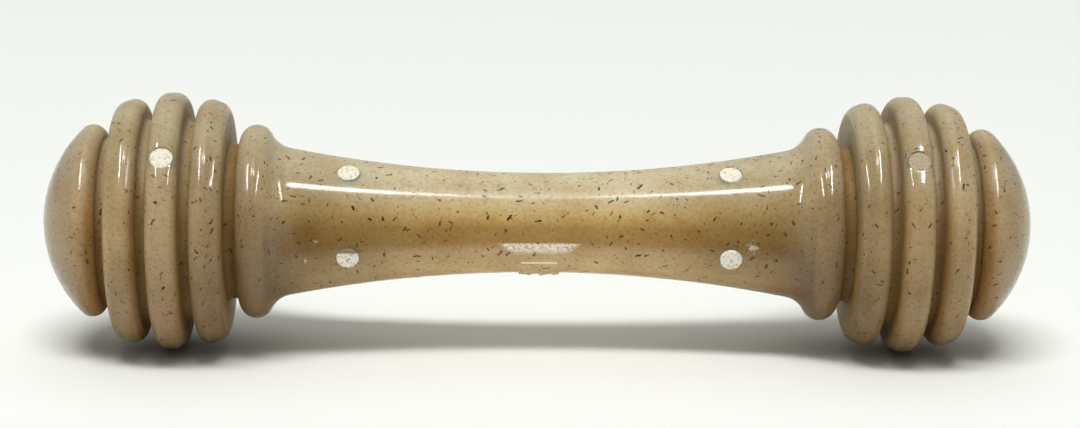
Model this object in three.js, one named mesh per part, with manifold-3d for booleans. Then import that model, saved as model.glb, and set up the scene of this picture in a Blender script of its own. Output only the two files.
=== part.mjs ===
// Nylon chew bone: a waisted grip between two balls that round grooves cut into ribs.
// The outer part of each ball is a knob, which a shouldered stem and dowel pins hold on the grip.
// Millimetres, +X along the bone, +Z up, origin on the floor below the middle of the bone.

import * as THREE from 'three';
import { mergeVertices } from 'three/addons/utils/BufferGeometryUtils.js';
import Module from 'manifold-3d';

const { PI, abs, acos, atan2, ceil, cos, max, sin, sqrt } = Math;
const DEGREE = PI / 180;

// Balls and their grooves
const BALL_RADIUS = 23.1;
const BALL_CENTRE = 65.7; // from the middle of the bone
const RIB_THICKNESS = 5.4;
const GROOVE_WIDTH = 2.0;
const GROOVE_DEPTH = 5.0; // below the ball's surface, towards its centre
const CREST_LAND = 1.0; // narrow strip along the crest of each rib, which the bone rests on
const RIM_ROUND = 2.3; // rounded edge of the domed tip

// Grip
const WAIST_RADIUS = 9.0;
const WAIST_CURVE = 238; // radius of the long hollow curve
const FLANGE_RADIUS = 17.5;
const FLANGE_ROUND = 2.9; // rounded crest of the flange
const FLARE_FILLET = 4.8; // between the hollow curve and the flange
const GATE_WIDTH = 7.6; // trimmed gate pad, along the bone
const GATE_SPAN = 9.2; // across the bone
const GATE_HEIGHT = 0.4;

// Stems
const SHANK_RADIUS = 5.5;
const SHANK_PAST_PIN = 8; // beyond the grip pins
const HEAD_RADIUS = 8.5;
const HEAD_PAST_PIN = 4.3; // beyond the knob pin
const FIT_GAP = 0.3; // round pins, shanks and heads, and below their ends
const SHOULDER_GAP = 0.15; // on each side of the collar

// Dowel pins
const PIN_RADIUS = 2.0;
const GRIP_PIN_PLACE = 34; // from the middle of the bone
const GRIP_PIN_BITE = 2.0; // depth in the shank
const GRIP_PIN_PROUD = 0.1;
const KNOB_PIN_BITE = 4.5; // depth in the stem's head
const KNOB_PIN_SUNK = 0.4; // below the crest of the middle rib

// Angles about the bone, from the front (-Y) upwards
const BONE_ROLL = 19.5 * DEGREE; // how far the bone has rolled back where it lies
const GRIP_PIN_SPREAD = 41.9 * DEGREE; // of the upper and lower pins from the rolled front
const KNOB_PIN_ANGLE = 21.3 * DEGREE; // from the rolled front

// Facets
const TURN_SIDES = 28; // an even count, turned so that one flat faces down
const PIN_SIDES = 16;
const ARC_SAG = 0.1; // largest distance from a chord to its arc

// Colours
const NYLON_COLOUR = '#b39c76';
const NECK_COLOUR = '#8a6232';
const PIN_COLOUR = '#c9b896';

// Sizes that follow from the ones above
const ribPitch = RIB_THICKNESS + GROOVE_WIDTH;
const ribCorner = (RIB_THICKNESS - CREST_LAND) / 2;
const ribFace = ribPitch + RIB_THICKNESS / 2; // outer faces of the side ribs, from the ball's centre
const rimFace = ribFace + GROOVE_WIDTH; // faces of the flange and of the domed tip
const neckOffset = (ribFace + rimFace) / 2; // middle of the neck's groove, from the ball's centre
const coreRadius = BALL_RADIUS - GROOVE_DEPTH;
const boreRadius = SHANK_RADIUS + FIT_GAP;
const socketRadius = HEAD_RADIUS + FIT_GAP;
const shankEnd = GRIP_PIN_PLACE - SHANK_PAST_PIN;
const headEnd = BALL_CENTRE + HEAD_PAST_PIN;
const facetReach = 1 / cos(PI / TURN_SIDES); // flats touch the true round, corners stand outside it
const cutPast = BALL_RADIUS; // how far a cutter reaches beyond what it cuts

const wasm = await Module();
wasm.setup();

// Outlines: x runs along the bone from its middle, y is the radius

function point(x, radius) {
  return new THREE.Vector2(x, radius);
}

function arc(centre, radius, from, to) {
  const step = 2 * acos(1 - ARC_SAG / radius);
  const count = max(1, ceil(abs(to - from) / step));
  const points = [];
  for (let i = 0; i <= count; i += 1) {
    const angle = from + ((to - from) * i) / count;
    points.push(point(radius, 0).rotateAround(point(0, 0), angle).add(centre));
  }
  return points;
}

function angleBetween(from, to) {
  return atan2(to.y - from.y, to.x - from.x);
}

const ballCentre = point(BALL_CENTRE, 0);

// Centre of a rounded edge that touches the ball from inside, at an offset from the ball's centre
function edgeCentre(offset, radius) {
  return point(BALL_CENTRE + offset, sqrt((BALL_RADIUS - radius) ** 2 - offset ** 2));
}

// The bottoms of the grooves lie on a smaller ball about the same centre
function floorRadius(offset) {
  return sqrt(coreRadius ** 2 - offset ** 2);
}

function grooveFloor(offset) {
  const radius = floorRadius(offset);
  const middle = BALL_CENTRE + offset;
  return [point(middle - GROOVE_WIDTH / 2, radius), point(middle + GROOVE_WIDTH / 2, radius)];
}

function ribOutline(offset) {
  const near = edgeCentre(offset - CREST_LAND / 2, ribCorner);
  const far = edgeCentre(offset + CREST_LAND / 2, ribCorner);
  return [
    ...arc(near, ribCorner, PI, angleBetween(ballCentre, near)),
    ...arc(far, ribCorner, angleBetween(ballCentre, far), 0),
  ];
}

function tipOutline() {
  const rim = edgeCentre(rimFace + RIM_ROUND, RIM_ROUND);
  const rimAngle = angleBetween(ballCentre, rim);
  return [...arc(rim, RIM_ROUND, PI, rimAngle), ...arc(ballCentre, BALL_RADIUS, rimAngle, 0)];
}

function knobOutline() {
  const outline = [
    point(headEnd + FIT_GAP, 0),
    point(headEnd + FIT_GAP, socketRadius),
    point(BALL_CENTRE - ribFace, socketRadius),
  ];
  for (const place of [-1, 0, 1]) {
    outline.push(...ribOutline(place * ribPitch));
    outline.push(...grooveFloor((place + 0.5) * ribPitch));
  }
  outline.push(...tipOutline());
  return outline;
}

function stemOutline() {
  const collarRadius = floorRadius(neckOffset);
  const collarStart = flangeFace + SHOULDER_GAP;
  const collarEnd = BALL_CENTRE - ribFace - SHOULDER_GAP;
  return [
    point(shankEnd, 0),
    point(shankEnd, SHANK_RADIUS),
    point(collarStart, SHANK_RADIUS),
    point(collarStart, collarRadius),
    point(collarEnd, collarRadius),
    point(collarEnd, HEAD_RADIUS),
    point(headEnd, HEAD_RADIUS),
    point(headEnd, 0),
  ];
}

const curveCentre = point(0, WAIST_RADIUS + WAIST_CURVE);
const flangeFace = BALL_CENTRE - rimFace;
const flangeCentre = point(flangeFace - FLANGE_ROUND, FLANGE_RADIUS - FLANGE_ROUND);

// Centre of the fillet that touches the hollow curve from inside and the flange from outside
function flareCentre() {
  const toFlange = FLANGE_ROUND + FLARE_FILLET;
  const toCurve = WAIST_CURVE - FLARE_FILLET;
  const apart = curveCentre.distanceTo(flangeCentre);
  const along = (apart ** 2 + toCurve ** 2 - toFlange ** 2) / (2 * apart);
  const aside = sqrt(toCurve ** 2 - along ** 2);
  const heading = flangeCentre.clone().sub(curveCentre).normalize();
  const foot = curveCentre.clone().addScaledVector(heading, along);
  return foot.add(point(heading.y, -heading.x).multiplyScalar(aside));
}

function halfGripOutline() {
  const flare = flareCentre();
  const curveEnd = angleBetween(curveCentre, flare);
  return [
    ...arc(curveCentre, WAIST_CURVE, -PI / 2, curveEnd),
    ...arc(flare, FLARE_FILLET, curveEnd, angleBetween(flare, flangeCentre)),
    ...arc(flangeCentre, FLANGE_ROUND, angleBetween(flangeCentre, flare), 0),
    point(flangeFace, boreRadius),
    point(shankEnd - FIT_GAP, boreRadius),
    point(shankEnd - FIT_GAP, 0),
  ];
}

function mirrored(outline) {
  return outline.map((p) => point(-p.x, p.y)).reverse();
}

function gripRadius(x) {
  return WAIST_RADIUS + WAIST_CURVE - sqrt(WAIST_CURVE ** 2 - x ** 2);
}

// Solids

function turned(outline) {
  const same = 1e-6;
  const distinct = outline.filter((p, i) => i === 0 || p.distanceTo(outline[i - 1]) > same);
  const profile = distinct.map((p) => point(max(p.y, 0) * facetReach, p.x));
  return new THREE.LatheGeometry(profile, TURN_SIDES, PI / TURN_SIDES).rotateZ(-PI / 2);
}

// A pin's cylinder along +Y, from one distance to another from the bone's axis
function pinCylinder(radius, from, to) {
  const geometry = new THREE.CylinderGeometry(radius, radius, to - from, PIN_SIDES);
  return geometry.translate(0, (from + to) / 2, 0);
}

// Turns +Y to an angle about the bone from the front
function turnTo(angle) {
  return PI - angle;
}

function solidOf(geometry) {
  const bare = geometry.clone();
  bare.deleteAttribute('normal');
  bare.deleteAttribute('uv');
  const merged = mergeVertices(bare);
  const corners = merged.index.array;
  const triangles = [];
  for (let i = 0; i < corners.length; i += 3) {
    const [a, b, c] = corners.slice(i, i + 3);
    if (a !== b && b !== c && c !== a) triangles.push(a, b, c);
  }
  const mesh = new wasm.Mesh({
    numProp: 3,
    vertProperties: merged.attributes.position.array,
    triVerts: new Uint32Array(triangles),
  });
  return new wasm.Manifold(mesh);
}

function geometryOf(solid) {
  const mesh = solid.getMesh();
  const geometry = new THREE.BufferGeometry();
  geometry.setAttribute('position', new THREE.BufferAttribute(mesh.vertProperties, 3));
  geometry.setIndex(new THREE.BufferAttribute(mesh.triVerts, 1));
  geometry.computeVertexNormals();
  return geometry;
}

function drilled(solid, pins) {
  return pins.reduce((left, pin) => {
    const hole = pinCylinder(PIN_RADIUS + FIT_GAP, pin.inner - FIT_GAP, pin.outer + cutPast);
    return left.subtract(solidOf(hole.rotateX(turnTo(pin.angle)).translate(pin.x, 0, 0)));
  }, solid);
}

// The gate pad follows the grip's round and lies a quarter turn below the rolled front
function gatePad() {
  const padRadius = WAIST_RADIUS + GATE_HEIGHT;
  const round = turned([
    point(-GATE_WIDTH / 2, 0),
    point(-GATE_WIDTH / 2, padRadius),
    point(GATE_WIDTH / 2, padRadius),
    point(GATE_WIDTH / 2, 0),
  ]);
  const reach = 2 * padRadius;
  const strip = new THREE.BoxGeometry(2 * GATE_WIDTH, reach, GATE_SPAN).translate(0, reach / 2, 0);
  return solidOf(round).intersect(solidOf(strip.rotateX(turnTo(BONE_ROLL - PI / 2))));
}

// Pieces

function gripPins(sideName, side) {
  return [['upper', 1], ['lower', -1]].map(([level, up]) => ({
    name: `${sideName}_${level}_grip_pin`,
    x: side * GRIP_PIN_PLACE,
    angle: BONE_ROLL + up * GRIP_PIN_SPREAD,
    inner: SHANK_RADIUS - GRIP_PIN_BITE,
    outer: gripRadius(GRIP_PIN_PLACE) + GRIP_PIN_PROUD,
  }));
}

function knobPin(sideName, side) {
  return {
    name: `${sideName}_knob_pin`,
    x: side * BALL_CENTRE,
    angle: BONE_ROLL + KNOB_PIN_ANGLE,
    inner: HEAD_RADIUS - KNOB_PIN_BITE,
    outer: BALL_RADIUS - KNOB_PIN_SUNK,
  };
}

function nylonMesh(name, geometry, colour) {
  const material = new THREE.MeshStandardMaterial({ color: colour, roughness: 0.3, metalness: 0 });
  const mesh = new THREE.Mesh(geometry, material);
  mesh.name = name;
  return mesh;
}

function pinMesh(pin) {
  const mesh = nylonMesh(pin.name, pinCylinder(PIN_RADIUS, pin.inner, pin.outer), PIN_COLOUR);
  mesh.position.x = pin.x;
  mesh.rotation.x = turnTo(pin.angle);
  return mesh;
}

const bone = new THREE.Group();
const allGripPins = [];
for (const [sideName, side] of [['left', -1], ['right', 1]]) {
  const shaped = (outline) => solidOf(turned(side > 0 ? outline : mirrored(outline)));
  const ownGripPins = gripPins(sideName, side);
  const ownKnobPin = knobPin(sideName, side);
  const knob = drilled(shaped(knobOutline()), [ownKnobPin]);
  const stem = drilled(shaped(stemOutline()), [...ownGripPins, ownKnobPin]);
  bone.add(nylonMesh(`${sideName}_knob`, geometryOf(knob), NYLON_COLOUR));
  bone.add(nylonMesh(`${sideName}_stem`, geometryOf(stem), NECK_COLOUR));
  bone.add(...[...ownGripPins, ownKnobPin].map(pinMesh));
  allGripPins.push(...ownGripPins);
}

const halfGrip = halfGripOutline();
const gripBody = solidOf(turned([...mirrored(halfGrip), ...halfGrip]));
const grip = drilled(gripBody.add(gatePad()), allGripPins);
bone.add(nylonMesh('grip', geometryOf(grip), NYLON_COLOUR));

// The bone lies on the crest lands of its two middle ribs
const crestAngle = angleBetween(ballCentre, edgeCentre(CREST_LAND / 2, ribCorner));
bone.position.z = BALL_RADIUS * sin(crestAngle);

export default bone;
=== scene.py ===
"""Nylon chew bone: a waisted grip between ribbed knobs, with stems and dowel pins, on a plain stage."""

import math
from functools import partial

import bmesh
import bpy
from bpy.props import FloatProperty, FloatVectorProperty, IntProperty, PointerProperty
from mathutils import Matrix, Vector, noise


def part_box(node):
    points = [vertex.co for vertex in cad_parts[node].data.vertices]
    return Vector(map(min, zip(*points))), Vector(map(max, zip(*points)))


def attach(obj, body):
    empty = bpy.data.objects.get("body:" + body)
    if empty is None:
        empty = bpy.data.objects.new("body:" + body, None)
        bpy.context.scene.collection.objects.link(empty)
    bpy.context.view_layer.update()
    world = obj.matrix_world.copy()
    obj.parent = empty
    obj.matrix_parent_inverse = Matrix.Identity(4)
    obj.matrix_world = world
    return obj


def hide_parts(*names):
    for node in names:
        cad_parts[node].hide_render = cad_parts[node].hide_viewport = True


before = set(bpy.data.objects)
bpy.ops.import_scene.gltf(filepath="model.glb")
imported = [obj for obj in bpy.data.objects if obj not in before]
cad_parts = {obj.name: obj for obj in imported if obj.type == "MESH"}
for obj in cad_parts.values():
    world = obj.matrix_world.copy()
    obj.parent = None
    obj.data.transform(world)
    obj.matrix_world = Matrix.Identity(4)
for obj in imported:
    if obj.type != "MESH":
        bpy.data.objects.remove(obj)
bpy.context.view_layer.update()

bl_info = {
    "name": "Nylon chew bone",
    "version": (1, 0, 0),
    "blender": (4, 5, 0),
    "location": "3D View > Sidebar > Chew bone",
    "description": "Makes the grip, knobs, stems and pins of a nylon chew bone, and its stage",
    "category": "Object",
}

MM = 0.001
SIDES = {"left": -1, "right": 1}
GRIP_PINS = ("upper_grip_pin", "lower_grip_pin")
KNOB_PINS = ("knob_pin",)

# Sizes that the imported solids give
knob_low, knob_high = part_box("right_knob")
grip_low, grip_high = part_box("grip")
stem_low, stem_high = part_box("right_stem")
BALL_RADIUS = (knob_high.z - knob_low.z) / 2
BALL_CENTRE = knob_high.x - BALL_RADIUS
GROOVE_WIDTH = knob_low.x - grip_high.x
NECK_RADIUS = (stem_high.z - stem_low.z) / 2
FLANGE_RADIUS = (grip_high.z - grip_low.z) / 2


def linear(hex_code):
    """An sRGB hex colour as linear red, green and blue."""
    channels = (int(hex_code[i:i + 2], 16) / 255 for i in (1, 3, 5))
    return tuple(c / 12.92 if c <= 0.04045 else ((c + 0.055) / 1.055) ** 2.4 for c in channels)


# Settings that a user can change


def length(name, metres, description):
    return FloatProperty(
        name=name, description=description, default=metres, min=0, unit="LENGTH", precision=4
    )


def offset(name, metres, description):
    return FloatProperty(name=name, description=description, default=metres, unit="LENGTH", precision=5)


def angle(name, degrees, description):
    return FloatProperty(name=name, description=description, default=math.radians(degrees), subtype="ANGLE")


def colour(name, hex_code, description):
    return FloatVectorProperty(
        name=name, description=description, default=linear(hex_code), size=3, min=0, max=1, subtype="COLOR"
    )


def amount(name, value, description):
    return FloatProperty(name=name, description=description, default=value, min=0)


def count(name, value, least, description):
    return IntProperty(name=name, description=description, default=value, min=least)


class BoneSizes(bpy.types.PropertyGroup):
    """Sizes of the bone's pieces"""

    ball_radius: length("Ball radius", BALL_RADIUS, "Radius of the ball that each knob is cut from")
    ball_centre: length("Ball centre", BALL_CENTRE, "From the bone's middle to a ball's centre")
    groove_width: length("Groove width", GROOVE_WIDTH, "Width of the round grooves")
    neck_radius: length("Neck radius", NECK_RADIUS, "Radius of the neck between grip and knob")
    rib_inner_face: length("First rib", knob_low.x, "From the bone's middle to the first rib's face")
    crest_land: length("Crest land", 1.0 * MM, "Strip along the crest of each rib")
    rim_round: length("Rim round", 2.3 * MM, "Rounded edge of the domed tip")
    waist_radius: length("Waist radius", 9.0 * MM, "Radius of the grip at its middle")
    waist_curve: length("Waist curve", 238 * MM, "Radius of the grip's long hollow curve")
    flange_radius: length("Flange radius", FLANGE_RADIUS, "Radius of the grip's end flanges")
    flange_round: length("Flange round", 2.9 * MM, "Rounded crest of a flange")
    flare_fillet: length("Flare fillet", 4.8 * MM, "Fillet between the hollow curve and the flange")
    gate_width: length("Gate width", 7.6 * MM, "Trimmed gate pad, along the bone")
    gate_span: length("Gate span", 9.2 * MM, "Trimmed gate pad, across the bone")
    gate_height: length("Gate height", 0.22 * MM, "Step of the gate pad above the grip")
    gate_tear: length("Gate tear", 0.4 * MM, "Height of the torn ridge along the gate pad")
    gate_angle: angle("Gate angle", -70.5, "Middle of the gate pad, from the front upwards")
    shank_radius: length("Shank radius", 5.5 * MM, "Radius of a stem inside the grip")
    head_radius: length("Head radius", 8.5 * MM, "Radius of a stem inside the knob")
    head_past_centre: length("Head reach", 4.3 * MM, "How far a stem's head passes the ball's centre")
    fit_gap: length("Fit gap", 0.3 * MM, "Play round shanks and heads, and below their ends")
    shoulder_gap: length("Shoulder gap", 0.03 * MM, "Gap on each side of the stem's collar")
    neck_hollow: length("Neck hollow", 0.45 * MM, "How far the collar's middle lies below its edges")
    pin_play: length("Pin play", 0.07 * MM, "Gap that shows round each pin")
    pin_chamfer: length("Pin chamfer", 0.12 * MM, "Broken edge of a pin's end face")
    turn_sides: count("Turned sides", 208, 24, "Facets round a turned piece")
    pin_sides: count("Pin sides", 72, 12, "Facets round a pin")


class BoneColours(bpy.types.PropertyGroup):
    """Colours of the nylon, many of them painted light and shade"""

    # The waist colours are painted light and shade: pale on top, amber at the sides, lighter above the floor
    waist_top: colour("Waist, top", "#D5C29E", "Thin waist where light falls straight in")
    waist_upper: colour("Waist, upper side", "#D0B680", "Thin waist where light still gathers")
    waist_side: colour("Waist, side", "#B6965E", "Thin waist where light only comes out again")
    waist_low: colour("Waist, below", "#D1B88D", "Thin waist that the floor lights")
    # Painted shade where the grip grows thicker, less where light falls from above
    flare: colour("Flare tint", "#CAC6BC", "Tint of the grip where it grows thicker")
    # Painted shade on the flanges, where light from above doesn't fall
    flange: colour("Flanges", "#9A8667", "Thick nylon of the flanges")
    # Painted light in the upper part of the fillets
    fillet: colour("Fillets", "#C3AE88", "Upper part of the fillets beside the flanges")
    knob: colour("Knobs", "#B6A381", "Thick nylon of the knobs")
    # Painted cool light on nylon that faces up
    painted_sky_light: colour("Sky tint", "#EEF7FF", "Tint of nylon that faces up, where cool light sinks in")
    # Painted shade on nylon that faces the floor, and on the domed tips
    underside: colour("Underside tint", "#D6CEC4", "Tint of thick nylon that faces the floor")
    # Painted shade on the sides of the ribs that face the grip
    painted_flank_shade: colour("Rib flanks", "#9E7F50", "Sides of the ribs, where light comes out again")
    # Painted shade down in the grooves
    groove: colour("Grooves", "#AC8C5A", "Nylon down in the grooves, lit only through the ribs")
    # Painted shade on the necks, down between grip and knobs
    neck: colour("Necks", "#896D40", "Nylon of the necks between grip and knobs")
    cloud: colour("Cloud tint", "#EEE6D8", "Tint of the denser clouds")
    speck: colour("Speck tint", "#F2ECE0", "Tint of the fine specks")
    fleck: colour("Flecks", "#4C2E0C", "Fibre flecks at the surface")
    deep_fleck: colour("Deep flecks", "#8A6A3C", "Fibre flecks below the surface")
    polished: colour("Polished face", "#98805C", "Pin end that kept the colour of the nylon round it")
    # The whitening of the pin ends is partly a painted reflection, with painted glints
    cut: colour("Cut faces", "#E6E1D0", "Whitened nylon on pin ends")
    # Partly painted: reflection, glints and highlight on the lower pin ends, the scrape, the scuffs and the
    # pad's edge
    crazed: colour("Crazed faces", "#FFFAEC", "White nylon of the lower pin ends and the scraped place")


class StageSettings(bpy.types.PropertyGroup):
    """Camera, floor and lamps"""

    lens: FloatProperty(name="Lens", description="Focal length", default=86.7, unit="CAMERA")
    distance: length("Distance", 470 * MM, "From the camera to the bone's middle")
    elevation: angle("Elevation", 12, "How far the camera looks down")
    swing: angle("Swing", 1.37, "How far the bone's right end is turned away")
    tilt: angle("Tilt", 0.58, "Roll of the camera")
    aim_right: offset("Aim right", 0.23 * MM, "Middle of the picture, right of the bone's middle")
    aim_up: offset("Aim up", 1.55 * MM, "Middle of the picture, above the bone's middle")
    floor_size: length("Floor size", 4.0, "Width and depth of the floor")
    floor: colour("Floor", "#E6E6E2", "White card that the bone lies on")
    flag: colour("Flag", "#40382E", "Dark card that the nylon's front mirrors")
    wall: colour("Walls", "#FAFFFC", "White surroundings, a little cool")
    top_light: amount("Top light", 1.3, "Strength of the ceiling, in a strip along the picture's depth")
    back_light: amount("Back light", 0.5, "Strength of the surroundings behind")
    side_light: amount("Side light", 0.2, "Strength of the surroundings at both sides")
    front_light: amount("Front light", 0.03, "Strength of the surroundings in front")
    key_light: amount("Key light", 0.82, "What the key lamp alone makes of a white floor")
    key_angle: angle("Key angle", 72, "How high the key lamp stands in front of the bone")
    key_swing: angle("Key swing", 4, "How far the key lamp leans to the left")


# Outlines: x runs along the bone from its middle, y is the radius

ARC_STEP = math.radians(6)
CHORD = 1.2 * MM


def arc(centre, radius, start, end):
    turn = abs(end - start)
    steps = max(math.ceil(turn / ARC_STEP), math.ceil(turn * radius / CHORD))
    angles = (start + (end - start) * i / steps for i in range(steps + 1))
    return [centre + radius * Vector((math.cos(a), math.sin(a))) for a in angles]


def heading(start, end):
    return math.atan2(end.y - start.y, end.x - start.x)


class Outlines:
    """Outlines of the grip and of the pieces at its right end, worked out from the sizes."""

    def __init__(self, sizes):
        self.sizes = sizes
        self.ball = Vector((sizes.ball_centre, 0))
        rib_face = sizes.ball_centre - sizes.rib_inner_face
        # From the ball's centre to the first rib's face lie half a rib, a groove and a whole rib
        self.rib_thickness = (rib_face - sizes.groove_width) / 1.5
        self.rib_pitch = self.rib_thickness + sizes.groove_width
        self.rim_face = rib_face + sizes.groove_width
        self.flange_face = sizes.ball_centre - self.rim_face
        neck_offset = (rib_face + self.rim_face) / 2
        self.core_radius = math.hypot(sizes.neck_radius, neck_offset)
        pin_low, pin_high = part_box("right_upper_grip_pin")
        self.pin_radius = (pin_high.x - pin_low.x) / 2
        self.shank_end = stem_low.x
        self.head_end = sizes.ball_centre + sizes.head_past_centre

    def edge_centre(self, along, radius):
        """Centre of a rounded edge that touches the ball from inside."""
        return Vector((self.ball.x + along, math.sqrt((self.sizes.ball_radius - radius) ** 2 - along ** 2)))

    def rib(self, along):
        corner = (self.rib_thickness - self.sizes.crest_land) / 2
        near = self.edge_centre(along - self.sizes.crest_land / 2, corner)
        far = self.edge_centre(along + self.sizes.crest_land / 2, corner)
        near_crest, far_crest = heading(self.ball, near), heading(self.ball, far)
        return arc(near, corner, math.pi, near_crest) + arc(far, corner, far_crest, 0)

    def groove_floor(self, along):
        half = self.sizes.groove_width / 2
        radius = math.sqrt(self.core_radius ** 2 - along ** 2)
        return arc(Vector((self.ball.x + along, radius + half)), half, math.pi, 2 * math.pi)

    def knob(self):
        sizes = self.sizes
        socket_end = self.head_end + sizes.fit_gap
        socket_radius = sizes.head_radius + sizes.fit_gap
        points = [
            Vector((socket_end, 0)),
            Vector((socket_end, socket_radius)),
            Vector((sizes.rib_inner_face, socket_radius)),
        ]
        for place in (-1, 0, 1):
            points += self.rib(place * self.rib_pitch)
            points += self.groove_floor((place + 0.5) * self.rib_pitch)
        rim = self.edge_centre(self.rim_face + sizes.rim_round, sizes.rim_round)
        rim_crest = heading(self.ball, rim)
        points += arc(rim, sizes.rim_round, math.pi, rim_crest)
        points += arc(self.ball, sizes.ball_radius, rim_crest, 0)
        return points

    def stem(self):
        sizes = self.sizes
        collar_start = self.flange_face + sizes.shoulder_gap
        collar_end = sizes.rib_inner_face - sizes.shoulder_gap
        half = (collar_end - collar_start) / 2
        bow = (half ** 2 + sizes.neck_hollow ** 2) / (2 * sizes.neck_hollow)
        above = Vector((collar_start + half, sizes.neck_radius - sizes.neck_hollow + bow))
        open_half = math.asin(half / bow)
        return [
            Vector((self.shank_end, 0)),
            Vector((self.shank_end, sizes.shank_radius)),
            Vector((collar_start, sizes.shank_radius)),
            *arc(above, bow, -math.pi / 2 - open_half, -math.pi / 2 + open_half),
            Vector((collar_end, sizes.head_radius)),
            Vector((self.head_end, sizes.head_radius)),
            Vector((self.head_end, 0)),
        ]

    def grip(self):
        sizes = self.sizes
        curve = Vector((0, sizes.waist_radius + sizes.waist_curve))
        flange = Vector((self.flange_face - sizes.flange_round, sizes.flange_radius - sizes.flange_round))
        # The fillet touches the hollow curve from inside and the flange's round from outside
        to_curve = sizes.waist_curve - sizes.flare_fillet
        to_flange = sizes.flange_round + sizes.flare_fillet
        across = flange - curve
        along = (across.length ** 2 + to_curve ** 2 - to_flange ** 2) / (2 * across.length)
        aside = math.sqrt(to_curve ** 2 - along ** 2)
        across.normalize()
        fillet = curve + along * across + aside * Vector((across.y, -across.x))
        flare_start = heading(curve, fillet)
        bore = sizes.shank_radius + sizes.fit_gap
        bore_end = self.shank_end - sizes.fit_gap
        half = [
            *arc(curve, sizes.waist_curve, -math.pi / 2, flare_start),
            *arc(fillet, sizes.flare_fillet, flare_start, heading(fillet, flange)),
            *arc(flange, sizes.flange_round, heading(flange, fillet), 0),
            Vector((self.flange_face, bore)),
            Vector((bore_end, bore)),
            Vector((bore_end, 0)),
        ]
        return mirrored(half) + half[1:]

    def grip_radius(self, x):
        sizes = self.sizes
        return sizes.waist_radius + sizes.waist_curve - math.sqrt(sizes.waist_curve ** 2 - x ** 2)


def mirrored(points):
    return [Vector((-p.x, p.y)) for p in reversed(points)]


# Node trees

MATH, VECTOR_MATH = "ShaderNodeMath", "ShaderNodeVectorMath"
MAP_RANGE, MIX = "ShaderNodeMapRange", "ShaderNodeMix"
SEPARATE, NOISE = "ShaderNodeSeparateXYZ", "ShaderNodeTexNoise"


def add_node(tree, kind, inputs=None, operation=None, **settings):
    """Adds a node, sets it up, and sets or links its inputs by name or number.

    An input that is given a node takes the first output that the node's settings leave in use. A colour is
    given as red, green and blue.
    """
    node = tree.nodes.new(kind)
    if operation:
        node.operation = operation
    for name, value in settings.items():
        setattr(node, name, value)
    for name, value in (inputs or {}).items():
        if isinstance(value, bpy.types.Node):
            value = next(socket for socket in value.outputs if socket.enabled)
        if isinstance(value, bpy.types.NodeSocket):
            tree.links.new(value, node.inputs[name])
        elif node.inputs[name].type == "RGBA":
            node.inputs[name].default_value = (*value, 1)
        else:
            node.inputs[name].default_value = value
    return node


MERGE_DISTANCE = 0.5e-6
SHARP_ANGLE = math.radians(38)
TURNING_INPUTS = {
    "Outline": "NodeSocketGeometry",
    "Sides": "NodeSocketInt",
    "Turn": "NodeSocketVector",
    "Place": "NodeSocketVector",
    "Material": "NodeSocketMaterial",
}


def turning_tree():
    """Geometry Nodes that turn an outline about the X axis, then turn the piece and put it in its place."""
    tree = bpy.data.node_groups.new("Turned piece", "GeometryNodeTree")
    for name, kind in TURNING_INPUTS.items():
        tree.interface.new_socket(name, in_out="INPUT", socket_type=kind)
    tree.interface.new_socket("Piece", in_out="OUTPUT", socket_type="NodeSocketGeometry")
    add = partial(add_node, tree)
    given = add("NodeGroupInput").outputs
    points = add("GeometryNodeAttributeDomainSize", {"Geometry": given["Outline"]}, component="MESH")
    columns = add(MATH, {0: given["Sides"], 1: 1}, "ADD")
    grid = add("GeometryNodeMeshGrid", {
        "Vertices X": points.outputs["Point Count"],
        "Vertices Y": columns,
    })
    index = add("GeometryNodeInputIndex")
    share = add(MATH, {0: index, 1: columns}, "DIVIDE")
    row = add(MATH, {0: share}, "FLOOR")
    column = add(MATH, {0: index, 1: columns}, "MODULO")
    turned = add(MATH, {0: column, 1: given["Sides"]}, "DIVIDE")
    around = add(MATH, {0: turned, 1: 2 * math.pi}, "MULTIPLY")
    sample = add("GeometryNodeSampleIndex", {
        "Geometry": given["Outline"],
        "Value": add("GeometryNodeInputPosition"),
        "Index": row,
    }, data_type="FLOAT_VECTOR")
    outline = add(SEPARATE, {0: sample}).outputs
    cosine = add(MATH, {0: around}, "COSINE")
    sine = add(MATH, {0: around}, "SINE")
    across = add(MATH, {0: outline["Y"], 1: cosine}, "MULTIPLY")
    above = add(MATH, {0: outline["Y"], 1: sine}, "MULTIPLY")
    point = add("ShaderNodeCombineXYZ", {"X": outline["X"], "Y": across, "Z": above})
    shaped = add("GeometryNodeSetPosition", {"Geometry": grid, "Position": point})
    closed = add("GeometryNodeMergeByDistance", {"Geometry": shaped, "Distance": MERGE_DISTANCE})
    placed = add("GeometryNodeTransform", {
        "Geometry": closed,
        "Rotation": given["Turn"],
        "Translation": given["Place"],
    })
    real = add("GeometryNodeRealizeInstances", {"Geometry": placed})
    finished = add("GeometryNodeSetMaterial", {"Geometry": real, "Material": given["Material"]})
    add("NodeGroupOutput", {"Piece": finished})
    return tree


def new_object(name, data):
    piece = bpy.data.objects.new(name, data)
    bpy.context.scene.collection.objects.link(piece)
    return piece


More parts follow.
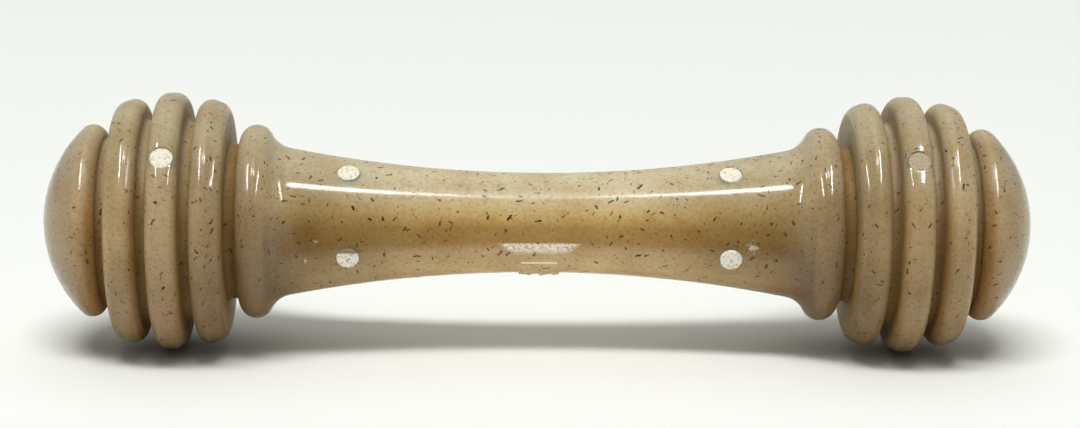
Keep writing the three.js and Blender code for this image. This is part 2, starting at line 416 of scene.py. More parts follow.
def turned_piece(name, points, material, sides, place, turn=(0, 0, 0), tools=None):
    """A closed turned mesh, with solids taken from it or joined to it where they are given."""
    outline = bpy.data.meshes.new(name + "_outline")
    edges = [(i, i + 1) for i in range(len(points) - 1)]
    outline.from_pydata([(p.x, max(p.y, 0), 0) for p in points], edges, [])
    piece = new_object(name, outline)
    tree = bpy.data.node_groups.get("Turned piece") or turning_tree()
    values = {"Sides": sides, "Turn": turn, "Place": place, "Material": material}
    modifier = piece.modifiers.new("Turn", "NODES")
    modifier.node_group = tree
    for socket in tree.interface.items_tree:
        if socket.in_out == "INPUT" and socket.name in values:
            modifier[socket.identifier] = values[socket.name]
    tools = tools or {}
    for operation, tool in tools.items():
        change = piece.modifiers.new(operation, "BOOLEAN")
        change.object = tool
        change.operation = operation
        change.solver = "EXACT"
    bpy.context.view_layer.update()
    graph = bpy.context.evaluated_depsgraph_get()
    mesh = bpy.data.meshes.new_from_object(piece.evaluated_get(graph))
    mesh.name = name
    mesh.materials.clear()
    mesh.materials.append(material)
    piece.modifiers.clear()
    piece.data = mesh
    bpy.data.meshes.remove(outline)
    for tool in tools.values():
        bpy.data.meshes.remove(tool.data)
    outward(mesh)
    return piece


def outward(mesh):
    """Turns the faces of a closed mesh outwards, smooths it and keeps its hard edges."""
    shape = bmesh.new()
    shape.from_mesh(mesh)
    bmesh.ops.remove_doubles(shape, verts=shape.verts, dist=MERGE_DISTANCE)
    bmesh.ops.recalc_face_normals(shape, faces=shape.faces)
    open_edges = sum(1 for edge in shape.edges if not edge.is_manifold)
    if open_edges or not shape.faces:
        raise RuntimeError(f"{mesh.name} isn't closed: {open_edges} open edges, {len(shape.faces)} faces")
    shape.to_mesh(mesh)
    shape.free()
    mesh.shade_smooth()
    mesh.set_sharp_from_angle(angle=SHARP_ANGLE)


def finish_piece(piece, node):
    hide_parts(node)
    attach(piece, "root")


# Pins


class Pin:
    """Place, direction and reach of one dowel pin, read from its solid."""

    def __init__(self, node, outlines):
        low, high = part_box(node)
        middle = (low + high) / 2
        self.node = node
        self.foot = Vector((middle.x, 0, outlines.sizes.ball_radius))
        self.direction = (middle - self.foot).normalized()
        self.radius = outlines.pin_radius
        # The box of a slanting cylinder gives its length along the slant
        across = (high.y - low.y) / 2
        above = (high.z - low.z) / 2
        slant = Vector((0, abs(self.direction.y), abs(self.direction.z)))
        half = (across * slant.y + above * slant.z) - 2 * self.radius * slant.y * slant.z
        reach = (middle - self.foot).length
        self.inner, self.outer = reach - half, reach + half

    def turn(self):
        return Vector((1, 0, 0)).rotation_difference(self.direction).to_euler()

    def end_height(self):
        return (self.foot + self.outer * self.direction).z

    def outline(self, chamfer):
        return [
            Vector((self.inner, 0)),
            Vector((self.inner, self.radius)),
            Vector((self.outer - chamfer, self.radius)),
            Vector((self.outer, self.radius - chamfer)),
            Vector((self.outer, 0)),
        ]


def pins_of(side, outlines, kinds=GRIP_PINS + KNOB_PINS):
    return [Pin(f"{side}_{kind}", outlines) for kind in kinds]


def hole_cutter(name, pins, sizes):
    """One mesh of the cylinders that drill a piece for its pins, well past the pins' outer ends."""
    shape = bmesh.new()
    hole_radius = sizes.pin_play + pins[0].radius
    for pin in pins:
        start, end = pin.inner - sizes.pin_play, pin.outer + sizes.waist_radius
        across = Vector((0, 0, 1)).rotation_difference(pin.direction).to_matrix().to_4x4()
        middle = pin.foot + (start + end) / 2 * pin.direction
        bmesh.ops.create_cone(
            shape, cap_ends=True, segments=sizes.pin_sides, radius1=hole_radius, radius2=hole_radius,
            depth=end - start, matrix=Matrix.Translation(middle) @ across,
        )
    mesh = bpy.data.meshes.new(name)
    shape.to_mesh(mesh)
    shape.free()
    return new_object(name, mesh)


# Materials

# A range below holds inputs of a Map Range node: from 1 to 2, and to 3 and 4 where these aren't 0 and 1.
# A Mix node takes the share of its second colour as 0, and its two colours as 6 and 7
MIX_COLOURS = {"data_type": "RGBA"}
TINT = {"data_type": "RGBA", "blend_type": "MULTIPLY"}
NYLON_IOR = 1.53

# Turns a point into its offset from the bone's axis
FROM_AXIS = {1: (0, 1, 1), 2: (0, 0, -BALL_RADIUS)}


def new_material(name):
    """An empty material and the function that adds nodes to it."""
    material = bpy.data.materials.new(name)
    material.use_nodes = True
    material.node_tree.nodes.clear()
    return material, partial(add_node, material.node_tree)


# Fibre flecks: colour, spacing, half length, radius, soft edge, and the colour's least and greatest share
FLECKS = (
    ("deep_fleck", 2.1 * MM, 0.6 * MM, 0.3 * MM, 0.26 * MM, 0.22, 0.22),
    ("fleck", 1.0 * MM, 0.28 * MM, 0.11 * MM, 0.05 * MM, 0.0, 1.0),
    ("fleck", 1.65 * MM, 0.55 * MM, 0.19 * MM, 0.05 * MM, 0.7, 1.0),
)
FLECK_INPUTS = ("Per metre", "Half length", "Radius", "Softness")
FLECK_BEND = 0.6 * MM
FLECK_BEND_SPACING = 0.8 * MM
FLECK_LENGTHS = {3: 0.35, 4: 1.0}
FLECK_GIRTHS = {3: 0.5, 4: 1.15}
FLECKS_LAID_FLAT = 0.8


def fleck_tree():
    """Node group: one fibre fleck in each cell of a 3-D Voronoi, as a short crooked rod."""
    tree = bpy.data.node_groups.get("Fibre flecks")
    if tree:
        return tree
    tree = bpy.data.node_groups.new("Fibre flecks", "ShaderNodeTree")
    tree.interface.new_socket("Vector", in_out="INPUT", socket_type="NodeSocketVector")
    for name in FLECK_INPUTS:
        tree.interface.new_socket(name, in_out="INPUT", socket_type="NodeSocketFloat")
    for name in ("Fleck", "Chance"):
        tree.interface.new_socket(name, in_out="OUTPUT", socket_type="NodeSocketFloat")
    add = partial(add_node, tree)
    given = add("NodeGroupInput").outputs
    bends = add(NOISE, {"Vector": given["Vector"], "Scale": 1 / FLECK_BEND_SPACING, "Detail": 2})
    bent = add(VECTOR_MATH, {
        0: bends.outputs["Color"], 1: (FLECK_BEND, FLECK_BEND, FLECK_BEND), 2: given["Vector"],
    }, "MULTIPLY_ADD")
    cells = add("ShaderNodeTexVoronoi", {"Vector": bent, "Scale": given["Per metre"]}).outputs
    chance = add(SEPARATE, {0: cells["Color"]}).outputs
    away = add(VECTOR_MATH, {0: bent, 1: cells["Position"]}, "SUBTRACT")
    wander = add(VECTOR_MATH, {0: cells["Color"], 1: (0.5, 0.5, 0.5)}, "SUBTRACT")
    # The flow in the mould lays the fibres along the skin, so most of their outward slant is taken away
    outside = add(VECTOR_MATH, {0: cells["Position"], **FROM_AXIS}, "MULTIPLY_ADD")
    skin = add(VECTOR_MATH, {0: wander, 1: outside}, "PROJECT")
    slant = add(VECTOR_MATH, {0: skin, "Scale": FLECKS_LAID_FLAT}, "SCALE")
    laid = add(VECTOR_MATH, {0: wander, 1: slant}, "SUBTRACT")
    axis = add(VECTOR_MATH, {0: laid}, "NORMALIZE")
    along = add(VECTOR_MATH, {0: away, 1: axis}, "DOT_PRODUCT")
    share = add(MAP_RANGE, {0: chance["X"], **FLECK_LENGTHS})
    half = add(MATH, {0: given["Half length"], 1: share}, "MULTIPLY")
    back = add(MATH, {0: half, 1: -1}, "MULTIPLY")
    held = add("ShaderNodeClamp", {0: along, 1: back, 2: half})
    nearest = add(VECTOR_MATH, {0: axis, "Scale": held}, "SCALE")
    gap = add(VECTOR_MATH, {0: away, 1: nearest}, "DISTANCE")
    girth = add(MAP_RANGE, {0: chance["Z"], **FLECK_GIRTHS})
    radius = add(MATH, {0: given["Radius"], 1: girth}, "MULTIPLY")
    inner = add(MATH, {0: radius, 1: given["Softness"]}, "SUBTRACT")
    outer = add(MATH, {0: radius, 1: given["Softness"]}, "ADD")
    edge = {1: inner, 2: outer, 3: 1.0, 4: 0.0}
    fleck = add(MAP_RANGE, {0: gap, **edge}, interpolation_type="SMOOTHSTEP")
    add("NodeGroupOutput", {"Fleck": fleck, "Chance": chance["Y"]})
    return tree


# The scraped place, which paints in a bright reflection, by the distance below the bone's axis, and its ends,
# by the distance from them
GLINT_SCRAPE_HALF_WIDTH = {1: 1.9 * MM, 2: 3.9 * MM, 3: 7.9 * MM, 4: 5.4 * MM}
GLINT_SCRAPE_TOP = {1: 1.75 * MM, 2: 2.1 * MM}
GLINT_SCRAPE_BOTTOM = {1: 3.1 * MM, 2: 4.2 * MM, 3: 1.0, 4: 0.0}
GLINT_SCRAPE_ENDS = {2: 1.5 * MM}
# The painted highlight along the edge of the gate pad: its distance below the axis, half its height and half
# its length
PAINTED_EDGE_HIGHLIGHT = {1: 5.9 * MM, 2: 0.16 * MM}
PAINTED_EDGE_HALF_LENGTH = 3.2 * MM
# Middle and radius of each small scuff on the grip, which paints in a glint, and the share of white in it
GLINT_SCUFFS = (
    ((37.7 * MM, -11.9 * MM, BALL_RADIUS - 1.8 * MM), 1.0 * MM),
    ((-41.3 * MM, -11.8 * MM, BALL_RADIUS - 4.5 * MM), 0.45 * MM),
    ((-39.4 * MM, -12.2 * MM, BALL_RADIUS - 1.0 * MM), 0.4 * MM),
)
GLINT_SCUFF_SHARE = 0.5
# Scratches break up the painted reflection of the scraped place and make the painted glints' outlines ragged
GLINT_SCRATCH_SPACING = 0.35 * MM
GLINT_SCRATCHED = {1: 0.38, 2: 0.55, 3: 0.25, 4: 1.0}
RAGGED = {1: 0.38, 2: 0.62, 3: 2.0, 4: 0.6}


def scrape_and_painted_glints(add, place):
    """Share of whitening: scrape and scuffs that paint in reflection and glints, and a painted highlight on
    the pad's edge.
    """
    parts = add(SEPARATE, {0: place}).outputs
    aside = add(MATH, {0: parts["X"]}, "ABSOLUTE")
    below = add(MATH, {0: BALL_RADIUS, 1: parts["Z"]}, "SUBTRACT")
    front = add(MATH, {0: parts["Y"], 1: 0}, "LESS_THAN")
    width = add(MAP_RANGE, {0: below, **GLINT_SCRAPE_HALF_WIDTH})
    spare = add(MATH, {0: width, 1: aside}, "SUBTRACT")
    glint_scratches = add(NOISE, {"Vector": place, "Scale": 1 / GLINT_SCRATCH_SPACING, "Detail": 2})
    share = add(MAP_RANGE, {0: glint_scratches, **GLINT_SCRATCHED})
    share = add(MATH, {0: share, 1: front}, "MULTIPLY")
    for value, shown in ((spare, GLINT_SCRAPE_ENDS), (below, GLINT_SCRAPE_TOP), (below, GLINT_SCRAPE_BOTTOM)):
        mask = add(MAP_RANGE, {0: value, **shown})
        share = add(MATH, {0: share, 1: mask}, "MULTIPLY")
    # Painted highlight along the edge of the gate pad
    painted_edge_highlight = add(MATH, {0: below, **PAINTED_EDGE_HIGHLIGHT}, "COMPARE")
    short = add(MATH, {0: aside, 1: PAINTED_EDGE_HALF_LENGTH}, "LESS_THAN")
    for mask in (short, front):
        painted_edge_highlight = add(MATH, {0: painted_edge_highlight, 1: mask}, "MULTIPLY")
    share = add(MATH, {0: share, 1: painted_edge_highlight}, "MAXIMUM")
    ragged = add(MAP_RANGE, {0: glint_scratches, **RAGGED})
    # Scuffs that paint in small glints
    for middle, radius in GLINT_SCUFFS:
        far = add(VECTOR_MATH, {0: place, 1: middle}, "DISTANCE")
        far = add(MATH, {0: far, 1: ragged}, "MULTIPLY")
        scuff = add(MAP_RANGE, {0: far, 1: radius, 2: 0.5 * radius, 3: 0.0, 4: GLINT_SCUFF_SHARE})
        share = add(MATH, {0: share, 1: scuff}, "MAXIMUM")
    return share


# Where the nylon's look changes: along the bone, by the distance from its middle
GRIP_THICKENS = {1: 15 * MM, 2: 42 * MM}
GRIP_ENDS = {1: 41 * MM, 2: 47 * MM}
FILLETS = {1: 50 * MM, 2: 48 * MM}
KNOBS_START = {1: 54 * MM, 2: 65 * MM}
# Painted shade on the tips
TIPS = {1: 74 * MM, 2: 86 * MM, 3: 0.0, 4: 0.3}
# Round the bone, by how far a place lies above the axis, from -1 below to 1 on top, for painted light and
# shade
ROUND = {1: -1.0, 2: 1.0}
LIT = {1: 0.3, 2: 0.85}
RAISED = {1: -0.45, 2: 0.5}
RAISED_POWER = 3.0
UNDER = {1: 0.0, 2: -0.7}
# How much of the flare's painted shade is left where light falls from above, as a factor and a sum
LEFT_BY_LIGHT = {1: -0.6, 2: 1.0}
# In a knob, by the distance from the ball's centre, by the height and by how far a place faces outwards, for
# painted shade
HOLLOW = {1: BALL_RADIUS - 0.3 * MM, 2: BALL_RADIUS - 1.5 * MM}
DEEP = {1: BALL_RADIUS - 2 * MM, 2: BALL_RADIUS - 4.5 * MM}
SHADED = {1: BALL_RADIUS + 4 * MM, 2: BALL_RADIUS + 15 * MM, 3: 1.0, 4: 0.15}
INWARD = {1: 0.25 * BALL_CENTRE, 2: -0.25 * BALL_CENTRE}
LEVEL = {1: 0.6, 2: 1.0, 3: 1.0, 4: 0.0}
# Painted light and shade round the waist, as colours from below to the top
WAIST_STOPS = (
    (0.32, "waist_low"),
    (0.405, "waist_side"),
    (0.55, "waist_side"),
    (0.675, "waist_upper"),
    (0.81, "waist_top"),
)


def clear_nylon(add, coords, colours):
    """Colour of the nylon without its flecks, and the share by which a place is down in a groove.

    Light wanders through the thin waist, and the colour paints that in as light and shade: pale on top where
    light falls in, amber at its sides and paler again above the floor. The ends are thick and look an even
    grey tan, with painted shade on the flanges, undersides, tips, rib sides and grooves, and painted light in
    the fillets.
    """
    parts = add(SEPARATE, {0: coords["Object"]}).outputs
    aside = add(MATH, {0: parts["X"]}, "ABSOLUTE")
    around = add(VECTOR_MATH, {0: coords["Object"], **FROM_AXIS}, "MULTIPLY_ADD")
    outwards = add(VECTOR_MATH, {0: around}, "NORMALIZE")
    upward = add(SEPARATE, {0: outwards}).outputs["Z"]
    lit = add(MAP_RANGE, {0: upward, **LIT})
    # The grip's waist in painted light and shade, with painted shade where it grows thicker, less where lit
    # from above
    facing = add(MAP_RANGE, {0: upward, **ROUND})
    ramp = add("ShaderNodeValToRGB", {0: facing})
    stops = ramp.color_ramp.elements
    stops.remove(stops[1])
    for position, name in WAIST_STOPS:
        stops.new(position).color = (*getattr(colours, name), 1)
    stops.remove(stops[0])
    thicker = add(MAP_RANGE, {0: aside, **GRIP_THICKENS})
    left = add(MATH, {0: lit, **LEFT_BY_LIGHT}, "MULTIPLY_ADD")
    dim = add(MATH, {0: thicker, 1: left}, "MULTIPLY")
    waist = add(MIX, {0: dim, 6: ramp, 7: colours.flare}, **TINT)
    # The thick ends, with painted shade on the flanges and beside them, where light from above doesn't fall
    outer = add(MAP_RANGE, {0: aside, **KNOBS_START})
    bright = add(MATH, {0: outer, 1: lit}, "MAXIMUM")
    thick = add(MIX, {0: bright, 6: colours.flange, 7: colours.knob}, **MIX_COLOURS)
    # Painted light in the upper part of the fillets beside the flanges
    raised = add(MAP_RANGE, {0: upward, **RAISED})
    raised = add(MATH, {0: raised, 1: RAISED_POWER}, "POWER")
    fillet = add(MAP_RANGE, {0: aside, **FILLETS})
    painted_fillet_light = add(MATH, {0: fillet, 1: raised}, "MULTIPLY")
    thick = add(MIX, {0: painted_fillet_light, 6: thick, 7: colours.fillet}, **MIX_COLOURS)
    # Painted shade on nylon that faces the floor, and on the tips
    under = add(MAP_RANGE, {0: upward, **UNDER})
    tip = add(MAP_RANGE, {0: aside, **TIPS})
    painted_low_shade = add(MATH, {0: under, 1: tip}, "MAXIMUM")
    thick = add(MIX, {0: painted_low_shade, 6: thick, 7: colours.underside}, **TINT)
    ends = add(MAP_RANGE, {0: aside, **GRIP_ENDS})
    body = add(MIX, {0: ends, 6: waist, 7: thick}, **MIX_COLOURS)
    # Painted cool light on nylon that faces up
    body = add(MIX, {0: lit, 6: body, 7: colours.painted_sky_light}, **TINT)
    # Painted shade: the sides of the ribs that face the grip are amber, less so higher up, where light falls
    # straight in
    folded = add("ShaderNodeCombineXYZ", {"X": aside, "Y": parts["Y"], "Z": parts["Z"]})
    reach = add(VECTOR_MATH, {0: folded, 1: (BALL_CENTRE, 0, BALL_RADIUS)}, "DISTANCE")
    hollow = add(MAP_RANGE, {0: reach, **HOLLOW})
    shaded = add(MAP_RANGE, {0: parts["Z"], **SHADED})
    normal = add(SEPARATE, {0: coords["Normal"]}).outputs
    turned_out = add(MATH, {0: normal["X"], 1: parts["X"]}, "MULTIPLY")
    inward = add(MAP_RANGE, {0: turned_out, **INWARD})
    painted_flank_shade = hollow
    for mask in (shaded, inward):
        painted_flank_shade = add(MATH, {0: painted_flank_shade, 1: mask}, "MULTIPLY")
    body = add(MIX, {0: painted_flank_shade, 6: body, 7: colours.painted_flank_shade}, **MIX_COLOURS)
    # Painted shade: the bottoms of the grooves are amber all round, up to the sides that face the grip
    deep = add(MAP_RANGE, {0: reach, **DEEP})
    level = add(MAP_RANGE, {0: inward, **LEVEL})
    bottom = add(MATH, {0: deep, 1: level}, "MULTIPLY")
    body = add(MIX, {0: bottom, 6: body, 7: colours.groove}, **MIX_COLOURS)
    return body, hollow


# Clouds and specks: colour of the tint, spacing, detail of the noise and the range that shows
MOTTLES = (
    ("cloud", 9 * MM, 3, {1: 0.4, 2: 0.7}),
    ("speck", 0.6 * MM, 2, {1: 0.45, 2: 0.65}),
)
GRAIN_SPACING = 0.45 * MM
GRAIN_HEIGHT = 0.002 * MM
SKIN_ROUGHNESS = {3: 0.13, 4: 0.55}
LIGHT_REACH = 6 * MM


def flecked_nylon(colours, thin=False):
    """Injection-moulded nylon with fibre fill, as the mould left it.

    A glossy body that light enters, so lit skin is pale and shaded skin glows amber, which the colour also
    paints in as light and shade, with soft clouds, short dark fibres at and under the surface, whitened
    places that paint in a reflection, a highlight and glints, and a fine grain that breaks up the highlights.
    A thin piece between thicker ones takes a plain brown, as painted shade, since the light doesn't gather in
    it.
    """
    name = "Thin flecked nylon" if thin else "Moulded flecked nylon"
    material = bpy.data.materials.get(name)
    if material:
        return material
    material, add = new_material(name)
    coords = add("ShaderNodeTexCoord").outputs
    place = coords["Object"]
    body, hollow = clear_nylon(add, coords, colours)
    # The thin necks take a plain brown as painted shade
    body = colours.neck if thin else body
    for tint, spacing, detail, shown in MOTTLES:
        noises = add(NOISE, {"Vector": place, "Scale": 1 / spacing, "Detail": detail})
        share = add(MAP_RANGE, {0: noises, **shown})
        body = add(MIX, {0: share, 6: body, 7: getattr(colours, tint)}, **TINT)
    for tint, spacing, half_length, radius, softness, least, most in FLECKS:
        sizes = dict(zip(FLECK_INPUTS, (1 / spacing, half_length, radius, softness)))
        fleck = add("ShaderNodeGroup", {"Vector": place, **sizes}, node_tree=fleck_tree()).outputs
        depth = add(MAP_RANGE, {0: fleck["Chance"], 3: least, 4: most})
        share = add(MATH, {0: fleck["Fleck"], 1: depth}, "MULTIPLY")
        body = add(MIX, {0: share, 6: body, 7: getattr(colours, tint)}, **MIX_COLOURS)
    # Whitening for the scrape, scuffs and pad edge: painted reflection, glints and highlight
    white = scrape_and_painted_glints(add, place)
    body = add(MIX, {0: white, 6: body, 7: colours.crazed}, **MIX_COLOURS)
    grain = add(NOISE, {"Vector": place, "Scale": 1 / GRAIN_SPACING, "Detail": 2})
    nylon = add("ShaderNodeBsdfPrincipled", {
        "Base Color": body,
        "Roughness": add(MAP_RANGE, {0: hollow, **SKIN_ROUGHNESS}),
        "IOR": NYLON_IOR,
        "Specular IOR Level": 0.2,
        "Subsurface Weight": 0.0 if thin else 1.0,
        "Subsurface Radius": (1.0, 0.65, 0.35),
        "Subsurface Scale": LIGHT_REACH,
        "Normal": add("ShaderNodeBump", {"Strength": 1.0, "Distance": GRAIN_HEIGHT, "Height": grain}),
    })
    add("ShaderNodeOutputMaterial", {"Surface": nylon})
    return material


# Pin ends: colour of the nylon, colour of its whitening, and the least and greatest share of that
# The whitening is partly a painted reflection, with painted glints on its lumps
PIN_ENDS = {
    "Polished nylon": ("polished", "cut", 0.0, 0.2),
    "Half crazed nylon": ("flange", "crazed", 0.35, 1.0),
    "Crazed nylon": ("knob", "crazed", 0.35, 1.0),
    "Cut nylon": ("knob", "cut", 0.4, 1.0),
}
POLISHED_PIN = "right_knob_pin"
HALF_CRAZED_PIN = "left_lower_grip_pin"
BARE_STRIP_START = 1.2 * MM
BARE_STRIP_FADE = 0.4 * MM
ABOVE_ALL = 3 * BALL_RADIUS
LUMP_SPACING = 0.45 * MM
LUMP_HEIGHT = 0.12 * MM
LUMPS_SHOWN = {1: 0.38, 2: 0.48}


def cut_nylon(name, colours, bare_above=ABOVE_ALL):
    """The same nylon where it was cut: whitened, with painted glints on small lumps, and bare above a height.
    """
    material = bpy.data.materials.get(name)
    if material:
        return material
    material, add = new_material(name)
    plain, white, least, most = PIN_ENDS[name]
    place = add("ShaderNodeTexCoord").outputs["Object"]
    lumps = add(NOISE, {"Vector": place, "Scale": 1 / LUMP_SPACING, "Detail": 3})
    whitening_and_painted_glints = add(MAP_RANGE, {0: lumps, **LUMPS_SHOWN, 3: least, 4: most})
    height = add(SEPARATE, {0: place}).outputs["Z"]
    kept = add(MAP_RANGE, {0: height, 1: bare_above, 2: bare_above - BARE_STRIP_FADE})
    share = add(MATH, {0: whitening_and_painted_glints, 1: kept}, "MULTIPLY")
    face = {0: share, 6: getattr(colours, plain), 7: getattr(colours, white)}
    nylon = add("ShaderNodeBsdfPrincipled", {
        "Base Color": add(MIX, face, **MIX_COLOURS),
        "Roughness": 0.4,
        "IOR": NYLON_IOR,
        "Specular IOR Level": 0.05,
        "Normal": add("ShaderNodeBump", {"Strength": 1.0, "Distance": LUMP_HEIGHT, "Height": lumps}),
    })
    add("ShaderNodeOutputMaterial", {"Surface": nylon})
    return material


def pin_end(pin, colours):
    """Finish of a pin: one kept its colour, the lower ones are crazed white with painted glints, and one of
    these not all over.
    """
    if pin.node == POLISHED_PIN:
        return cut_nylon("Polished nylon", colours)
    if pin.node == HALF_CRAZED_PIN:
        return cut_nylon("Half crazed nylon", colours, pin.end_height() + BARE_STRIP_START)
    return cut_nylon("Crazed nylon" if pin.direction.z < 0 else "Cut nylon", colours)


# Gate pad

PAD_STEPS = 60
# How far the pad's rim and its underside lie below the grip's skin
PAD_SINK = 0.1 * MM
PAD_FOOT = 3 * PAD_SINK
PAD_CORNER = 1.3 * MM
PAD_SOFT = 0.25 * MM
TEAR_WIDTH = 0.9 * MM
TEAR_GRAIN = 1.2 * MM
TEAR_LEVEL = 0.5
# How the tear's noise falls off, how much finer each layer of it is, and how many layers it has
TEAR_NOISE = (0.8, 2.3, 3)


def smooth_step(value):
    value = min(max(value, 0), 1)
    return value * value * (3 - 2 * value)


def gate_pad(sizes, outlines):
    """The trimmed gate pad, to be joined to the grip: a thin step that follows it, with a torn ridge."""
    shape = bmesh.new()
    half = Vector((sizes.gate_width / 2, sizes.gate_span / 2))

    def height(x, across):
        beyond = Vector((max(abs(x) - half.x + PAD_CORNER, 0), max(abs(across) - half.y + PAD_CORNER, 0)))
        inside = PAD_CORNER - beyond.length
        tear = sizes.gate_tear * math.exp(-(across / TEAR_WIDTH) ** 2)
        tear *= TEAR_LEVEL + noise.fractal(Vector((x, across / 2, 0)) / TEAR_GRAIN, *TEAR_NOISE)
        return smooth_step(inside / PAD_SOFT) * (sizes.gate_height + PAD_SINK + max(tear, 0)) - PAD_SINK

    def vertex(i, j, raised):
        x = half.x * (2 * i / PAD_STEPS - 1)
        across = half.y * (2 * j / PAD_STEPS - 1)
        radius = outlines.grip_radius(x)
        around = sizes.gate_angle + across / radius
        radius += height(x, across) if raised else -PAD_FOOT
        return shape.verts.new((x, -radius * math.cos(around), sizes.ball_radius + radius * math.sin(around)))

    steps = range(PAD_STEPS + 1)
    top = [[vertex(i, j, True) for j in steps] for i in steps]
    under = [[vertex(i, j, False) for j in steps] for i in steps]
    faces = []
    for i in range(PAD_STEPS):
        for j in range(PAD_STEPS):
            for sheet in (top, under):
                faces.append((sheet[i][j], sheet[i + 1][j], sheet[i + 1][j + 1], sheet[i][j + 1]))
    rim = [(i, 0) for i in steps] + [(PAD_STEPS, j) for j in steps[1:]]
    rim += [(i, PAD_STEPS) for i in reversed(steps[:-1])] + [(0, j) for j in reversed(steps[1:-1])]
    for (a, b), (c, d) in zip(rim, rim[1:] + rim[:1]):
        faces.append((top[a][b], top[c][d], under[c][d], under[a][b]))
    for corners in faces:
        shape.faces.new(corners)
    bmesh.ops.recalc_face_normals(shape, faces=shape.faces)
    mesh = bpy.data.meshes.new("gate_pad")
    shape.to_mesh(mesh)
    shape.free()
    return new_object("gate_pad", mesh)


# Pieces


def make_ends(kind, points, outlines, pin_kinds, material):
    """One turned piece at each end of the bone, drilled for its pins."""
    sizes = outlines.sizes
    for side, sign in SIDES.items():
        cutter = hole_cutter(f"{kind}_holes", pins_of(side, outlines, pin_kinds), sizes)
        piece = turned_piece(
            f"nylon_{side}_{kind}", points if sign > 0 else mirrored(points), material, sizes.turn_sides,
            (0, 0, sizes.ball_radius), tools={"DIFFERENCE": cutter},
        )
        finish_piece(piece, f"{side}_{kind}")


class ChewBoneGrip(bpy.types.Operator):
    """Makes the waisted grip with its flanges, bores, pin holes and gate pad"""

    bl_idname = "chew_bone.make_grip"
    bl_label = "Grip"

    def execute(self, context):
        sizes, colours = context.scene.chew_bone_sizes, context.scene.chew_bone_colours
        outlines = Outlines(sizes)
        pins = [pin for side in SIDES for pin in pins_of(side, outlines, GRIP_PINS)]
        tools = {
            "DIFFERENCE": hole_cutter("grip_holes", pins, sizes),
            "UNION": gate_pad(sizes, outlines),
        }
        grip = turned_piece(
            "nylon_grip", outlines.grip(), flecked_nylon(colours), sizes.turn_sides,
            (0, 0, sizes.ball_radius), tools=tools,
        )
        finish_piece(grip, "grip")
        return {"FINISHED"}


class ChewBoneKnobs(bpy.types.Operator):
    """Makes the two ribbed, dome-tipped knobs with their sockets and pin holes"""

    bl_idname = "chew_bone.make_knobs"
    bl_label = "Knobs"

    def execute(self, context):
        outlines = Outlines(context.scene.chew_bone_sizes)
        material = flecked_nylon(context.scene.chew_bone_colours)
        make_ends("knob", outlines.knob(), outlines, KNOB_PINS, material)
        return {"FINISHED"}


class ChewBoneStems(bpy.types.Operator):
    """Makes the two shouldered stems, whose collars show as the bone's necks"""

    bl_idname = "chew_bone.make_stems"
    bl_label = "Stems"

    def execute(self, context):
        outlines = Outlines(context.scene.chew_bone_sizes)
        material = flecked_nylon(context.scene.chew_bone_colours, thin=True)
        make_ends("stem", outlines.stem(), outlines, GRIP_PINS + KNOB_PINS, material)
        return {"FINISHED"}


class ChewBonePins(bpy.types.Operator):
    """Makes the six dowel pins, whose end faces show as pale discs"""

    bl_idname = "chew_bone.make_pins"
    bl_label = "Pins"

    def execute(self, context):
        sizes, colours = context.scene.chew_bone_sizes, context.scene.chew_bone_colours
        outlines = Outlines(sizes)
        for pin in (pin for side in SIDES for pin in pins_of(side, outlines)):
            piece = turned_piece(
                f"nylon_{pin.node}", pin.outline(sizes.pin_chamfer), pin_end(pin, colours),
                sizes.pin_sides, pin.foot, pin.turn(),
            )
            finish_piece(piece, pin.node)
        return {"FINISHED"}


# Stage

LOW_LAMPS = 190 * MM
HIGH_LAMPS = 400 * MM
# Strip lamps: start and end over the floor, width, radiance and height above the bone's axis
STRIP_LAMPS = {
    "left_lamp": ((-126 * MM, -25 * MM), (-138 * MM, -165 * MM), 20 * MM, 100, LOW_LAMPS),
    "right_lamp": ((110 * MM, -25 * MM), (117 * MM, -170 * MM), 20 * MM, 100, LOW_LAMPS),
    "middle_lamp": ((-16 * MM, -93 * MM), (34 * MM, -93 * MM), 140 * MM, 4, HIGH_LAMPS),
    "left_end_lamp": ((40 * MM, -108 * MM), (70 * MM, -155 * MM), 44 * MM, 60, HIGH_LAMPS),
    "right_end_lamp": ((-50 * MM, -155 * MM), (-22 * MM, -108 * MM), 44 * MM, 60, HIGH_LAMPS),
}
KEY_DISTANCE = 4.5
KEY_SIZE = (3.0, 1.0)
FLAG_EDGE = -48 * MM
FLAG_HEIGHT = 0.5 * MM
SENSOR_WIDTH = 36
# Surroundings, by a direction's part upwards, backwards or aside
CEILING = {1: 0.5, 2: 0.8, 3: 0.0}
CEILING_STRIP = {1: 0.15, 2: 0.4, 3: 1.0, 4: 0.0}
BACK_WALL = {1: 0.0, 2: 0.4, 3: 0.0}
SIDE_WALLS = {1: 0.35, 2: 0.7, 3: 0.0}


def area_lamp(name, size, energy):
    """A flat lamp that the camera doesn't see."""
    lamp = bpy.data.lights.new(name, "AREA")
    lamp.shape = "RECTANGLE"
    lamp.size, lamp.size_y = size
    lamp.energy = energy
    holder = new_object(name, lamp)
    holder.visible_camera = False
    return holder


def strip_lamp(name, start, end, width, radiance, height):
    """A long narrow lamp above the bone, from one point to another, that shows only mirrored in the nylon."""
    start, end = Vector((*start, height)), Vector((*end, height))
    run = end - start
    lamp = area_lamp(name, (run.length, width), math.pi * radiance * run.length * width)
    lamp.location = (start + end) / 2
    lamp.rotation_euler = (0, 0, math.atan2(run.y, run.x))
    lamp.visible_diffuse = False


